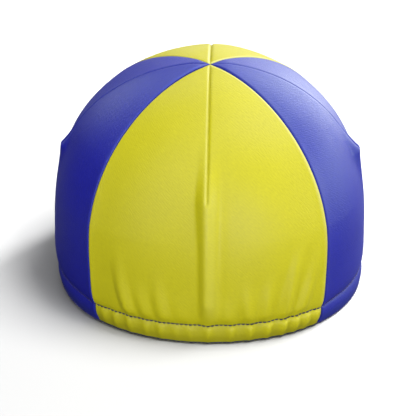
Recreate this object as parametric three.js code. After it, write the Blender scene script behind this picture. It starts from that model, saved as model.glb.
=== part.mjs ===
// A soft four-panel cycling cap with a short peak, as it stands on its rim on a table.
// Millimetres. +Z is up and +Y is the wearer's front. The origin is on the table, under the middle of the
// cap's whole length. Turns are degrees around the crown from the centre of the back, by way of the right side.
import * as THREE from 'three';

// Driving dimensions of the crown
const CROWN_HEIGHT = 129.5;
const WIDEST_HEIGHT = 31;
const CLOTH = 1.6;
const SEWN_GAP = 0.3;

// How far the crown reaches from the upright line through its top. Tuck is what the rim is drawn in by,
// fullness fills the shoulder out, and roundness shapes the top.
const PROFILES = {
  back: { reach: 77.3, tuck: 3.8, fullness: 2.43, roundness: 1.94 },
  left: { reach: 86, tuck: 4.4, fullness: 2.68, roundness: 1.88 },
  right: { reach: 86, tuck: 2.8, fullness: 2.46, roundness: 1.88 },
  front: { reach: 106.5, tuck: 4, fullness: 2.24, roundness: 1.99 },
};

// Squareness of the crown's plan at three heights, where 2 is an ellipse
const PLAN_SECTIONS = [
  { height: 0, squareness: 2.02 },
  { height: 60, squareness: 2.13 },
  { height: CROWN_HEIGHT, squareness: 1.84 },
];

// The two seams of the right side, as turns at the rim and at the top. The left side mirrors them.
const BACK_SEAM = { rim: 50, top: 52 };
const FRONT_SEAM = { rim: 134, top: 132.5 };
const SEAM_DIP = { depth: 0.5, width: 2.5 };

// Each panel has a dart down its middle. Where it ends, the cloth springs out in a bump.
const DART_END_HEIGHT = 82;
const DART_GROOVE = { depth: 0.6, width: 1.8 };
const DART_BUMP = { out: 3.2, width: 5.6, rise: 13, fall: 9 };
const BACK_RIDGE_OUT = 1.1;

// Folds that run up the back panel from the elastic
const BACK_FOLDS = [
  { turn: -42, out: 0.5, width: 3.4, height: 18 },
  { turn: -35, out: 1.1, width: 4.2, height: 34 },
  { turn: -27.5, out: 0.5, width: 3.2, height: 18 },
  { turn: -20.5, out: 0.8, width: 3.8, height: 24 },
  { turn: -12, out: 0.35, width: 3.4, height: 14 },
  { turn: 11, out: 0.35, width: 3.4, height: 14 },
  { turn: 20, out: 0.45, width: 3.6, height: 18 },
  { turn: 27.5, out: 0.6, width: 3.8, height: 26 },
  { turn: 35.5, out: 1.0, width: 4.2, height: 36 },
  { turn: 42, out: 0.6, width: 3.4, height: 24 },
];
const FOLD_LEAN = 0.1;

// Hem: the turned-up edge of each panel, with elastic inside at the back
const HEM_HEIGHT = 12;
const HEM_SECTION = [
  { out: 0.5, up: 12, gathered: 0.4 },
  { out: 0.9, up: 6, gathered: 1 },
  { out: 0.3, up: 0.6, gathered: 0.3 },
  { out: -0.3, up: 0, gathered: 0 },
  { out: -1.8, up: 0, gathered: 0 },
  { out: -2.1, up: 0.6, gathered: 0 },
  { out: -2.1, up: 12, gathered: 0 },
];
const HEM_GATHERS = { out: 0.45, turnPerPucker: 5.6, beat: 3.7 };

// The brow is lifted off the table by the peak
const BROW_LIFT = { height: 9, from: 115, fade: 60 };

// Peak: a stiffened cloth plate, sewn to the hem over the brow
const PEAK = {
  thickness: 2.2,
  span: 50,
  projection: 52,
  halfWidth: 72,
  squareness: 2.4,
  seatOut: 0.55,
  attachHeight: 1.5,
  frontHeight: 5.5,
  arch: 1.5,
};

// Mesh steps
const PANEL_ROWS = 15;
const TOP_ANGLE = 89;
const PLAIN_COLUMNS = 18;
const BACK_COLUMNS = 40;
const PLAIN_HEM_STEPS = 16;
const BACK_HEM_STEPS = 72;
const PEAK_RIBS = 28;
const PEAK_STEPS = 4;

const YELLOW_CLOTH = { color: 0xcfc831, roughness: 0.8, metalness: 0 };
const BLUE_CLOTH = { color: 0x3a3da6, roughness: 0.75, metalness: 0 };

const radians = THREE.MathUtils.degToRad;
const { lerp, clamp, smoothstep } = THREE.MathUtils;
const bell = (distance, width) => Math.exp(-((distance / width) ** 2));

// Horizontal reach of one profile at a height
function profileReach({ reach, tuck, fullness, roundness }, height) {
  if (height < WIDEST_HEIGHT) return reach - tuck * (1 - height / WIDEST_HEIGHT) ** 2;
  const climb = Math.min(1, (height - WIDEST_HEIGHT) / (CROWN_HEIGHT - WIDEST_HEIGHT));
  return reach * (1 - climb ** fullness) ** (1 / roundness);
}

function squarenessAt(height) {
  const [rim, middle, top] = PLAN_SECTIONS;
  const [low, high] = height < middle.height ? [rim, middle] : [middle, top];
  return lerp(low.squareness, high.squareness, (height - low.height) / (high.height - low.height));
}

// Distance of the smooth crown from the upright line through its top
function crownReach(turn, height) {
  const power = squarenessAt(height);
  const across = Math.sin(radians(turn));
  const along = -Math.cos(radians(turn));
  const side = across < 0 ? PROFILES.left : PROFILES.right;
  const end = along < 0 ? PROFILES.back : PROFILES.front;
  const sideways = Math.abs(across / profileReach(side, height)) ** power;
  const lengthwise = Math.abs(along / profileReach(end, height)) ** power;
  return (sideways + lengthwise) ** (-1 / power);
}

function crownPoint(turn, height) {
  const reach = crownReach(turn, height);
  return new THREE.Vector3(reach * Math.sin(radians(turn)), -reach * Math.cos(radians(turn)), height);
}

// Outward normal of the smooth crown
function crownNormal(turn, height) {
  const step = 0.02;
  const around = crownPoint(turn + step, height).sub(crownPoint(turn - step, height));
  const below = crownPoint(turn, height - step);
  const above = crownPoint(turn, Math.min(height + step, CROWN_HEIGHT - step));
  return around.cross(above.sub(below)).normalize();
}

// The front of the rim stands off the table, and this fades out up the crown
function browLift(turn) {
  const fromBack = Math.abs(THREE.MathUtils.euclideanModulo(turn + 180, 360) - 180);
  return BROW_LIFT.height * smoothstep(fromBack, BROW_LIFT.from, 180);
}

function liftedHeight(turn, height) {
  return height + browLift(turn) * Math.max(0, 1 - height / BROW_LIFT.fade);
}

// What the dart adds along the normal: a stitched groove, and the bump with its ridge where the stitching ends
function dartRelief(distance, height, ridgeOut) {
  const above = height - DART_END_HEIGHT;
  const groove = -DART_GROOVE.depth * bell(distance, DART_GROOVE.width) * smoothstep(above, -1, 1);
  const bumpOut = above > 0 ? 1 - smoothstep(above, 0, DART_BUMP.rise) : Math.exp(above / DART_BUMP.fall);
  const ridge = above > 0 ? 0 : ridgeOut * (1 - Math.exp(above / DART_BUMP.fall));
  return groove + (DART_BUMP.out * bumpOut + ridge) * bell(distance, DART_BUMP.width);
}

function foldRelief(turn, height) {
  const climb = height - HEM_HEIGHT;
  let out = 0;
  for (const fold of BACK_FOLDS) {
    const leaning = fold.turn + Math.sign(fold.turn) * FOLD_LEAN * climb;
    const distance = crownReach(turn, height) * radians(turn - leaning);
    out += fold.out * bell(distance, fold.width) * (1 - smoothstep(climb, 0, fold.height));
  }
  return out;
}

// Builds a BufferGeometry from rows of points and faces given as indices into them
function geometryOf(points, faces) {
  const geometry = new THREE.BufferGeometry();
  geometry.setAttribute('position', new THREE.Float32BufferAttribute(points.flatMap((p) => p.toArray()), 3));
  geometry.setIndex(faces);
  geometry.computeVertexNormals();
  return geometry;
}

// A closed plate between two equal grids of points, the first of which faces outwards. Columns run to the
// right and rows run up when the outer grid is seen from outside.
function plateGeometry(outer, inner) {
  const rows = outer.length;
  const columns = outer[0].length;
  const count = rows * columns;
  const at = (row, column, side) => side * count + row * columns + column;
  const faces = [];
  const quad = (a, b, c, d) => faces.push(a, b, c, a, c, d);
  for (let row = 0; row + 1 < rows; row += 1) {
    for (let column = 0; column + 1 < columns; column += 1) {
      quad(at(row, column, 0), at(row, column + 1, 0), at(row + 1, column + 1, 0), at(row + 1, column, 0));
      quad(at(row, column, 1), at(row + 1, column, 1), at(row + 1, column + 1, 1), at(row, column + 1, 1));
    }
    quad(at(row, 0, 0), at(row + 1, 0, 0), at(row + 1, 0, 1), at(row, 0, 1));
    quad(at(row, columns - 1, 0), at(row, columns - 1, 1), at(row + 1, columns - 1, 1), at(row + 1, columns - 1, 0));
  }
  for (let column = 0; column + 1 < columns; column += 1) {
    quad(at(0, column, 0), at(0, column, 1), at(0, column + 1, 1), at(0, column + 1, 0));
    quad(at(rows - 1, column, 0), at(rows - 1, column + 1, 0), at(rows - 1, column + 1, 1), at(rows - 1, column, 1));
  }
  return geometryOf([...outer.flat(), ...inner.flat()], faces);
}

// A closed bar whose section, a ring of points in order, is swept through the given stations
function barGeometry(sections) {
  const ring = sections[0].length;
  const last = sections.length - 1;
  const at = (station, corner) => station * ring + (corner % ring);
  const faces = [];
  for (let station = 0; station < last; station += 1) {
    for (let corner = 0; corner < ring; corner += 1) {
      const [a, b] = [at(station, corner), at(station, corner + 1)];
      const [c, d] = [at(station + 1, corner + 1), at(station + 1, corner)];
      faces.push(a, b, c, a, c, d);
    }
  }
  for (let corner = 1; corner + 1 < ring; corner += 1) {
    faces.push(at(0, 0), at(0, corner + 1), at(0, corner));
    faces.push(at(last, 0), at(last, corner), at(last, corner + 1));
  }
  return geometryOf(sections.flat(), faces);
}

// Heights of the panel's rows, evenly spread round the curve of the profile
function panelHeights() {
  const low = HEM_HEIGHT + SEWN_GAP;
  const lowRows = 3;
  const heights = Array.from({ length: lowRows }, (_, row) => lerp(low, WIDEST_HEIGHT, row / lowRows));
  for (let row = 0; row <= PANEL_ROWS - lowRows; row += 1) {
    const angle = radians((TOP_ANGLE * row) / (PANEL_ROWS - lowRows));
    heights.push(WIDEST_HEIGHT + (CROWN_HEIGHT - WIDEST_HEIGHT) * Math.sin(angle));
  }
  return heights;
}

// Shares of the way across a panel, closer together at the seams and at the dart in the middle
function panelColumns(count) {
  const half = Array.from({ length: count / 2 + 1 }, (_, step) => (2 * step) / count);
  const gathered = half.map((share) => share - 0.12 * Math.sin(2 * Math.PI * share));
  return [...gathered.map((share) => share / 2), ...gathered.slice(1).map((share) => (1 + share) / 2)];
}

// One gore of the crown between two seams, with the dart at its middle turn
function makePanel({ name, from, to, dart, columns, isBack, cloth }) {
  const shares = panelColumns(columns);
  const layer = (depth) =>
    panelHeights().map((level) => {
      const climb = level / CROWN_HEIGHT;
      const [start, end] = [lerp(from.rim, from.top, climb), lerp(to.rim, to.top, climb)];
      const inset = THREE.MathUtils.radToDeg(SEWN_GAP / 2 / crownReach(start, level));
      return shares.map((share) => {
        const turn = lerp(start + inset, end - inset, share);
        const height = liftedHeight(turn, level);
        const reach = crownReach(turn, height);
        const seamDistance = reach * radians(Math.min(turn - start, end - turn));
        const relief =
          dartRelief(reach * radians(turn - dart), height, isBack ? BACK_RIDGE_OUT : 0) +
          (isBack ? foldRelief(turn, height) : 0) -
          SEAM_DIP.depth * bell(seamDistance, SEAM_DIP.width);
        return crownPoint(turn, height).addScaledVector(crownNormal(turn, height), relief - depth);
      });
    });
  return named(name, plateGeometry(layer(0), layer(CLOTH)), cloth);
}

// The elastic gathers the back hem into uneven puckers, which die out at its ends
function hemGathers(turn) {
  const wave = Math.cos((2 * Math.PI * turn) / HEM_GATHERS.turnPerPucker);
  const beat = Math.cos((2 * Math.PI * turn) / (HEM_GATHERS.turnPerPucker * HEM_GATHERS.beat) + 1);
  const ends = 1 - smoothstep(Math.abs(turn), BACK_SEAM.rim - 8, BACK_SEAM.rim);
  return HEM_GATHERS.out * wave * (0.7 + 0.3 * beat) * ends;
}

// One stretch of the turned-up hem between two seams
function makeHem({ name, from, to, hemSteps, isBack, cloth }) {
  const inset = THREE.MathUtils.radToDeg(SEWN_GAP / 2 / crownReach(from.rim, 0));
  const sections = [];
  for (let step = 0; step <= hemSteps; step += 1) {
    const turn = lerp(from.rim + inset, to.rim - inset, step / hemSteps);
    const gathers = isBack ? hemGathers(turn) : 0;
    sections.push(
      HEM_SECTION.map(({ out, up, gathered }) => {
        const height = liftedHeight(turn, up);
        const outward = crownNormal(turn, height);
        if (up < HEM_HEIGHT) outward.setZ(0).normalize();
        return crownPoint(turn, height).addScaledVector(outward, out + gathered * gathers);
      }),
    );
  }
  return named(name, barGeometry(sections), cloth);
}

// The peak's ribs run from the brow to its front edge, and stand side by side from left to right
function makePeak() {
  const cornerTurn = 180 - PEAK.span;
  const corner = crownPoint(cornerTurn, PEAK.attachHeight);
  const tip = profileReach(PROFILES.front, 0) + PEAK.projection;
  const seat = PEAK.seatOut + SEWN_GAP;
  const layer = (side) => {
    const rows = [];
    for (let step = 0; step <= PEAK_STEPS; step += 1) {
      const row = [];
      for (let rib = 0; rib <= PEAK_RIBS; rib += 1) {
        const share = (2 * rib) / PEAK_RIBS - 1;
        const turn = 180 - PEAK.span * share;
        const attach = browLift(turn) + PEAK.attachHeight;
        const level = crownNormal(turn, attach).setZ(0).normalize();
        const inner = crownPoint(turn, attach).addScaledVector(level, seat);
        const sweep = radians(90 * (1 - Math.abs(share)));
        const power = 2 / PEAK.squareness;
        const outer = new THREE.Vector3(
          Math.sign(share) * PEAK.halfWidth * Math.cos(sweep) ** power,
          corner.y + (tip - corner.y) * Math.sin(sweep) ** power,
          lerp(PEAK.frontHeight, PEAK.attachHeight, share ** 2),
        );
        const out = step / PEAK_STEPS;
        const point = inner.lerp(outer, out);
        point.z += PEAK.arch * Math.sin(Math.PI * out) * (1 - share ** 2) + (side * PEAK.thickness) / 2;
        row.push(point);
      }
      rows.push(row);
    }
    return rows;
  };
  return named('peak', plateGeometry(layer(1), layer(-1)), BLUE_CLOTH);
}

function named(name, geometry, cloth) {
  const mesh = new THREE.Mesh(geometry, new THREE.MeshStandardMaterial(cloth));
  mesh.name = name;
  return mesh;
}

const mirrored = ({ rim, top }) => ({ rim: 360 - rim, top: 360 - top });
const negative = ({ rim, top }) => ({ rim: -rim, top: -top });

const GORES = [
  { place: 'back', from: negative(BACK_SEAM), to: BACK_SEAM, dart: 0, isBack: true, cloth: YELLOW_CLOTH },
  { place: 'right', from: BACK_SEAM, to: FRONT_SEAM, dart: 90, cloth: BLUE_CLOTH },
  { place: 'front', from: FRONT_SEAM, to: mirrored(FRONT_SEAM), dart: 180, cloth: YELLOW_CLOTH },
  { place: 'left', from: mirrored(FRONT_SEAM), to: mirrored(BACK_SEAM), dart: 270, cloth: BLUE_CLOTH },
];

const cap = new THREE.Group();
for (const gore of GORES) {
  const columns = gore.isBack ? BACK_COLUMNS : PLAIN_COLUMNS;
  const hemSteps = gore.isBack ? BACK_HEM_STEPS : PLAIN_HEM_STEPS;
  cap.add(makePanel({ ...gore, name: `panel_${gore.place}`, columns }));
  cap.add(makeHem({ ...gore, name: `hem_${gore.place}`, hemSteps }));
}
cap.add(makePeak());

// The crown's top stands behind the origin, so that the peak and the back reach equally far from it
const peakTip = profileReach(PROFILES.front, 0) + PEAK.projection;
const backTip = PROFILES.back.reach + BACK_RIDGE_OUT;
cap.position.y = (backTip - peakTip) / 2;

export default cap;
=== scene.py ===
# A soft cycling cap in two colours, standing on its rim and seen from behind.
# Sizes are in millimetres until a mesh is made. +Y is the wearer's front, where the peak is.
import math

import bpy
import numpy as np
from mathutils import Matrix, Vector


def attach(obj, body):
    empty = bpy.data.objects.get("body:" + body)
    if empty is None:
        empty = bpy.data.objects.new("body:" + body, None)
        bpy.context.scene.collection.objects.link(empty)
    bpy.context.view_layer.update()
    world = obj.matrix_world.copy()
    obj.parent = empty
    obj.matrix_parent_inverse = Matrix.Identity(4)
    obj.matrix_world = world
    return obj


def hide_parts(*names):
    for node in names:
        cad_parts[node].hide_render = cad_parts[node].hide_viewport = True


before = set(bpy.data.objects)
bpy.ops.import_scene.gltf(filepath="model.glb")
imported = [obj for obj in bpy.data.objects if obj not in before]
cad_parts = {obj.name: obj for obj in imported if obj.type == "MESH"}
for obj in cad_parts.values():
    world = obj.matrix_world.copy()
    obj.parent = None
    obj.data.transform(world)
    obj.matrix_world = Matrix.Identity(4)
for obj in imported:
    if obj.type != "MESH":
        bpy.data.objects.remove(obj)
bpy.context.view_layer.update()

# The camera stands behind the cap and a little above it, and looks through a long lens at a point inside the
# crown, under its top. Its place was worked out from the rim's foreshortening, the seams and the outline.
BACK_REACH = 77.3
BACK_RIDGE_OUT = 1.1
BROW_REACH = 102.5
PEAK_PROJECTION = 52
APEX_Y = (BACK_REACH + BACK_RIDGE_OUT - BROW_REACH - PEAK_PROJECTION) / 2
AIMED_HEIGHT = 60
CAMERA_ELEVATION = 28.14
CAMERA_DISTANCE = 1124
CAMERA_TURN = 0.65
CAMERA_ROLL = 0.3
CAMERA_DIP = 0.815
CAMERA_SWING = 0.044
CAMERA_LENS = 176.2
CAMERA_FILM = 36
CAMERA_SEES = {"from": 50, "to": 20000}


def turned(angle, axis):
    return Matrix.Rotation(math.radians(angle), 4, axis)


camera = bpy.data.objects.new("camera", bpy.data.cameras.new("camera"))
bpy.context.scene.collection.objects.link(camera)
bpy.context.scene.camera = camera
camera.data.sensor_width = CAMERA_FILM
camera.data.lens = CAMERA_LENS
camera.data.clip_start = CAMERA_SEES["from"] / 1000
camera.data.clip_end = CAMERA_SEES["to"] / 1000
aimed_at = Matrix.Translation(Vector((0, APEX_Y, AIMED_HEIGHT)) / 1000)
back_off = Matrix.Translation((0, 0, CAMERA_DISTANCE / 1000))
orbit = turned(CAMERA_TURN, "Z") @ turned(90 - CAMERA_ELEVATION, "X") @ back_off
aim = turned(-CAMERA_DIP, "X") @ turned(CAMERA_SWING, "Y") @ turned(CAMERA_ROLL, "Z")
camera.matrix_world = aimed_at @ orbit @ aim

# The crown is sewn from four panels of thin twill, two yellow and two blue. Every panel has a dart down its
# middle, which ends about half way down the cloth in a bump. The seams are pressed open inside, so that
# outside each is a narrow valley between two rolled edges.
CROWN_HEIGHT = 129.5
WIDEST_HEIGHT = 31
PROFILES = {
    "back": {"reach": BACK_REACH, "tuck": 3.8, "fullness": 2.43, "roundness": 1.94},
    "left": {"reach": 86, "tuck": 4.4, "fullness": 2.68, "roundness": 1.88},
    "right": {"reach": 86, "tuck": 2.8, "fullness": 2.46, "roundness": 1.88},
    "front": {"reach": 106.5, "tuck": 4, "fullness": 2.24, "roundness": 1.99},
}
PLAN_HEIGHTS = (0, 60, CROWN_HEIGHT)
PLAN_SQUARENESS = (2.02, 2.13, 1.84)
BROW_LIFT = {"height": 9, "start": 115, "fade": 60}
CROWN_RISE = 0.3
HEM_HEIGHT = 12.3
CLOTH = 1.3
ALLOWANCE = {"width": 5, "thickness": 0.6, "soft": 0.5}


def smoothstep(value, low, high):
    share = np.clip((value - low) / (high - low), 0, 1)
    return share * share * (3 - 2 * share)


def grow(value, low, high, least):
    """Rises softly from the least share at the low end to one at the high end"""
    return least + (1 - least) * smoothstep(value, low, high)


def bell(distance, width):
    return np.exp(-((distance / width) ** 2))


def mound(distance, width):
    """A rounded bar with steep sides and soft feet, one high in the middle and half as high at the width"""
    return 1 / (1 + np.abs(distance / width) ** 4)


def cone(distance, width):
    """A soft ridge one high, half as high at the width, with long flanks"""
    return 1 / (1 + np.abs(distance / width) ** 2.6)


def pleat(distance, left, right):
    """A soft fold one high, as far to its feet on the left and on the right as given"""
    share = np.where(distance < 0, -distance / left, distance / right)
    return 0.5 + 0.5 * np.cos(np.pi * np.clip(share, 0, 1))


def profile_reach(place, height):
    """One side's reach, which tucks in below the widest height and closes as a dome above it"""
    size = PROFILES[place]
    climb = np.clip((height - WIDEST_HEIGHT) / (CROWN_HEIGHT - WIDEST_HEIGHT), 0, 1)
    dome = size["reach"] * (1 - climb ** size["fullness"]) ** (1 / size["roundness"])
    tucked = size["reach"] - size["tuck"] * np.clip(1 - height / WIDEST_HEIGHT, 0, 1) ** 2
    return np.where(height < WIDEST_HEIGHT, tucked, dome)


def crown_reach(turn, height):
    """How far the crown reaches from its middle, as a rounded square between the four profiles"""
    power = np.interp(height, PLAN_HEIGHTS, PLAN_SQUARENESS)
    across = np.sin(np.radians(turn))
    along = -np.cos(np.radians(turn))
    side = np.where(across < 0, profile_reach("left", height), profile_reach("right", height))
    end = np.where(along < 0, profile_reach("back", height), profile_reach("front", height))
    return (np.abs(across / side) ** power + np.abs(along / end) ** power) ** (-1 / power)


def crown_point(turn, height):
    reach = crown_reach(turn, height)
    angle = np.radians(turn)
    risen = height + CROWN_RISE * (height / CROWN_HEIGHT) ** 3 + 0 * reach
    return np.stack([reach * np.sin(angle), APEX_Y - reach * np.cos(angle), risen], -1)


def crown_normal(turn, height):
    """The crown's outward direction, from points a small step away"""
    step = 0.02
    top = np.minimum(height + step, CROWN_HEIGHT - 0.001)
    around = crown_point(turn + step, height) - crown_point(turn - step, height)
    upward = crown_point(turn, top) - crown_point(turn, height - step)
    normal = np.cross(around, upward)
    return normal / np.linalg.norm(normal, axis=-1, keepdims=True)


def lifted_height(turn, height):
    """The height of a point once the rim is lifted over the brow"""
    from_back = np.abs((turn + 180) % 360 - 180)
    lift = BROW_LIFT["height"] * smoothstep(from_back, BROW_LIFT["start"], 180)
    return height + lift * np.clip(1 - height / BROW_LIFT["fade"], 0, 1)


# Where each panel's two seams lie at the rim and at the top, as turns from the centre of the back
SEAMS = {
    "back": {"rim": (-48.3, 48.1), "top": (-52.4, 52.2)},
    "right": {"rim": (48.1, 134), "top": (52.2, 132.5)},
    "front": {"rim": (134, 226), "top": (132.5, 227.5)},
    "left": {"rim": (226, 311.7), "top": (227.5, 307.6)},
}
SEAM_BEND = 1.5
SEAM_PEAK = {"rise": 1.8, "reach": 5, "fades": 70, "gone": 120}
SEAM_LIP = {"back": 0.25, "right": 0, "front": 0.25, "left": 0, "inset": 1.0, "width": 0.8}
ROLLED_EDGE = {"depth": 1.2, "back": 1.1, "front": 1.1, "left": 1.5, "right": 1.3}


def seam_turns(place, height):
    """Where the panel's two seams lie, as turns from the centre of the back"""
    climb = (height / CROWN_HEIGHT) ** SEAM_BEND
    return [rim + (top - rim) * climb for rim, top in zip(SEAMS[place]["rim"], SEAMS[place]["top"])]


def seam_rise(seam, height):
    fading = 1 - smoothstep(height, SEAM_PEAK["fades"], SEAM_PEAK["gone"])
    return SEAM_PEAK["rise"] * np.exp(-seam / SEAM_PEAK["reach"]) * fading


def rolled_edge(place, seam):
    """How far the cloth has rolled in towards the seam, as a share of its depth"""
    inside = np.clip(1 - seam / ROLLED_EDGE[place], 0, 1)
    return 1 - np.sqrt(1 - inside**2)


# A dart leans away from its panel's middle on the way down, and ends in a bump. A ridge of slack cloth runs
# down from it at the back and the front, and up beside it on the left and the right.
DARTS = {
    "back": {"lean": -0.2, "end": 82, "bump": 5.0, "ridge": 3.7, "rise": 32, "fall": 13},
    "right": {"lean": -2, "end": 79.4, "bump": 4.8, "ridge": 0, "rise": 16, "fall": 11},
    "front": {"lean": 0, "end": 82, "bump": 2.9, "ridge": 1, "rise": 28, "fall": 11},
    "left": {"lean": 2, "end": 80.6, "bump": 3.5, "ridge": 0, "rise": 13, "fall": 8},
}
LEAN_FADE = 20
DART_GROOVE = {"width": 0.65, "steepness": 1.4, "back": 1.1, "front": 1.1, "left": 0.6, "right": 0.45}
DART_DEEPENS = {"back": 0.2, "front": 0.2, "left": 1.2, "right": 2.4, "reach": 8}
DART_TIP = (-1.2, 0.6)
ALLOWANCE_TIP = (-1, 1)
UPPER_RIDGE = {"out": 1.2, "reach": 14, "fade": 14}
BUMP_WIDTH = 4.6
LOWER_RIDGE = {"aside": -0.7, "left": 4.6, "right": 7.0}
BUMP_SPREAD = {"left": 2.4, "right": 0.8, "fade": 16}
LOWER_RIDGE_FOOT = {"share": 0.15, "reach": 16}
RIDGE_HOLLOW = {"depth": 0.1, "aside": 0.8, "width": 3}


def dart_form(place, distance, height):
    """What stands out at a dart: a bump at its end, with a ridge above it or below it"""
    dart = DARTS[place]
    above = height - dart["end"]
    rising = np.clip(1 - above / dart["rise"], 0, 1) ** 2
    falling = np.exp(np.minimum(above, 0) / dart["fall"])
    bump = dart["bump"] * np.where(above > 0, rising, falling)
    if dart["ridge"] == 0:
        upper = UPPER_RIDGE["out"] * np.exp(-np.abs(distance) / UPPER_RIDGE["reach"])
        return bump * mound(distance, BUMP_WIDTH) + upper * smoothstep(above, 0, UPPER_RIDGE["fade"])
    foot = grow(height - HEM_HEIGHT, 0, LOWER_RIDGE_FOOT["reach"], LOWER_RIDGE_FOOT["share"])
    out = bump + dart["ridge"] * (1 - falling) * foot
    aside = distance - LOWER_RIDGE["aside"]
    near = 1 / (1 + (above / BUMP_SPREAD["fade"]) ** 2)
    crest = pleat(aside, *(LOWER_RIDGE[side] + BUMP_SPREAD[side] * near for side in ("left", "right")))
    beside = bell(aside - LOWER_RIDGE["right"] - RIDGE_HOLLOW["aside"], RIDGE_HOLLOW["width"])
    return out * (crest - RIDGE_HOLLOW["depth"] * beside)


def dart_groove(place, distance, height):
    above = height - DARTS[place]["end"]
    depth = DART_GROOVE[place] * (1 + DART_DEEPENS[place] * bell(above, DART_DEEPENS["reach"]))
    groove = depth * np.exp(-((np.abs(distance) / DART_GROOVE["width"]) ** DART_GROOVE["steepness"]))
    return groove * smoothstep(above, *DART_TIP)


# Soft folds that rise from the elastic and bend as they rise, as turns from the centre of the back
BACK_FOLDS = [
    {"foot": -31, "bend": -37, "head": -36.3, "out": 1.9, "climb": 44},
    {"foot": -23.4, "bend": -28, "head": -26.8, "out": 1.3, "climb": 27},
    {"foot": -17, "bend": -20.6, "head": -19.6, "out": 1.7, "climb": 36},
    {"foot": -10, "bend": -10.8, "head": -10.5, "out": 0.6, "climb": 20},
    {"foot": 7.6, "bend": 7.4, "head": 7.6, "out": 1.0, "climb": 18},
    {"foot": 16.9, "bend": 14.2, "head": 15.4, "out": 1.6, "climb": 30},
    {"foot": 22.8, "bend": 23, "head": 26, "out": 1.9, "climb": 32},
    {"foot": 31.2, "bend": 32.6, "head": 40, "out": 2.6, "climb": 50},
    {"foot": 37, "bend": 43, "head": 47, "out": 2.0, "climb": 48},
]
FOLD_FLANKS = (5.4, 6.2)
FOLD_FADE = 0.15
FOLD_FOOT = {"share": 0.12, "reach": 6}


def fold_relief(turn, height):
    climb = height - HEM_HEIGHT
    out = np.zeros(np.broadcast(turn, height).shape)
    for fold in BACK_FOLDS:
        share = np.clip(climb / fold["climb"], 0, 1)
        bend = 2 * share * (1 - share) * fold["bend"]
        crest = (1 - share) ** 2 * fold["foot"] + bend + share**2 * fold["head"]
        distance = crown_reach(turn, height) * np.radians(turn - crest)
        out += fold["out"] * pleat(distance, *FOLD_FLANKS) * (1 - smoothstep(share, FOLD_FADE, 1))
    return out * grow(climb, 0, FOLD_FOOT["reach"], FOLD_FOOT["share"])


# Puckers that the elastic draws into the back hem, widest just under the stitches. Each has its turn from
# the centre of the back, and how far it stands out.
HEM_PUCKERS = [
    (-44.2, 1.0), (-38.6, 1.1), (-32.3, 1.35), (-25.2, 1.1), (-18.9, 1.35),
    (-12.8, 0.95), (-7.2, 0.9), (0.4, 1.5), (9.6, 1.4), (17.4, 1.9),
    (24.6, 2.2), (31.0, 2.6), (36.3, 2.4), (41.0, 2.1), (45.6, 1.7),
]
PUCKER_WIDTH = {"low": 1.3, "high": 2.6}
PUCKER_LEVELS = (0, 1.5, 4, 7, 10.3, 12.3, 13.6, 16, 20)
PUCKER_STRENGTHS = (0.12, 0.35, 0.75, 1.05, 1.15, 0.45, 0.3, 0.12, 0)
PUCKER_SINK = 0.7


def pucker_relief(turn, height):
    strength = np.interp(height, PUCKER_LEVELS, PUCKER_STRENGTHS)
    share = np.clip(height / HEM_HEIGHT, 0, 1)
    width = PUCKER_WIDTH["low"] + (PUCKER_WIDTH["high"] - PUCKER_WIDTH["low"]) * share
    out = np.zeros(np.broadcast(turn, height).shape)
    for middle, stands_out in HEM_PUCKERS:
        distance = crown_reach(turn, height) * np.radians(turn - middle)
        out += stands_out * cone(distance, width)
    return (out - PUCKER_SINK) * strength


# The cloth is slack between the seams, and full just above the stitched groove of the hem
SLACK = {"out": 0.25, "waves": 7, "fade": 12, "across": 0.11, "up": 0.09}
SLACK_SEEDS = {"back": 4, "right": 5, "front": 5, "left": 4}
HEM_GROOVE = {"depth": 0.45, "width": 0.9, "steepness": 1.3}
HEM_FULLNESS = {"out": 0.55, "top": 5, "end": 24}


def slack_relief(place, turn, height):
    """Slow, shallow waves all over the cloth, from a few fixed sine waves"""
    draw = np.random.default_rng(SLACK_SEEDS[place])
    around = crown_reach(90, WIDEST_HEIGHT) * np.radians(turn)
    out = np.zeros(np.broadcast(turn, height).shape)
    for _ in range(SLACK["waves"]):
        across = draw.uniform(-SLACK["across"], SLACK["across"])
        up = draw.uniform(-SLACK["up"], SLACK["up"])
        phase = draw.uniform(0, 2 * math.pi)
        out += np.sin(across * around + up * height + phase)
    return SLACK["out"] * out / SLACK["waves"]


def hem_groove(climb):
    return HEM_GROOVE["depth"] * np.exp(-((climb / HEM_GROOVE["width"]) ** HEM_GROOVE["steepness"]))


def fullness(climb):
    falling = 1 - smoothstep(climb, HEM_FULLNESS["top"], HEM_FULLNESS["end"])
    return HEM_FULLNESS["out"] * smoothstep(climb, 0, HEM_FULLNESS["top"]) * falling


# Points lie closest at the seams, at the dart, just above the hem and at the top
SEAM_COLUMNS = {"count": 6, "gap": 0.2, "growth": 1.25}
MIDDLE_COLUMNS = {"back": (74, 0.72), "right": (46, 1.15), "front": (46, 1.15), "left": (46, 1.15)}
LOW_ROWS = (0, 0.012, 0.03, 0.05, 0.08, 0.12, 0.17, 0.23)
EVEN_ROWS = {"from": 0.3, "count": 11}
DOME_ROWS = {"count": 112, "last": 89.7}


def column_shares(place):
    growing = SEAM_COLUMNS["gap"] * SEAM_COLUMNS["growth"] ** np.arange(SEAM_COLUMNS["count"])
    gaps = np.concatenate([growing, np.full(*MIDDLE_COLUMNS[place]), growing[::-1]])
    half = np.concatenate([[0], np.cumsum(gaps)]) / gaps.sum()
    return np.concatenate([half / 2, 0.5 + half[1:] / 2])[None, :]


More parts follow.
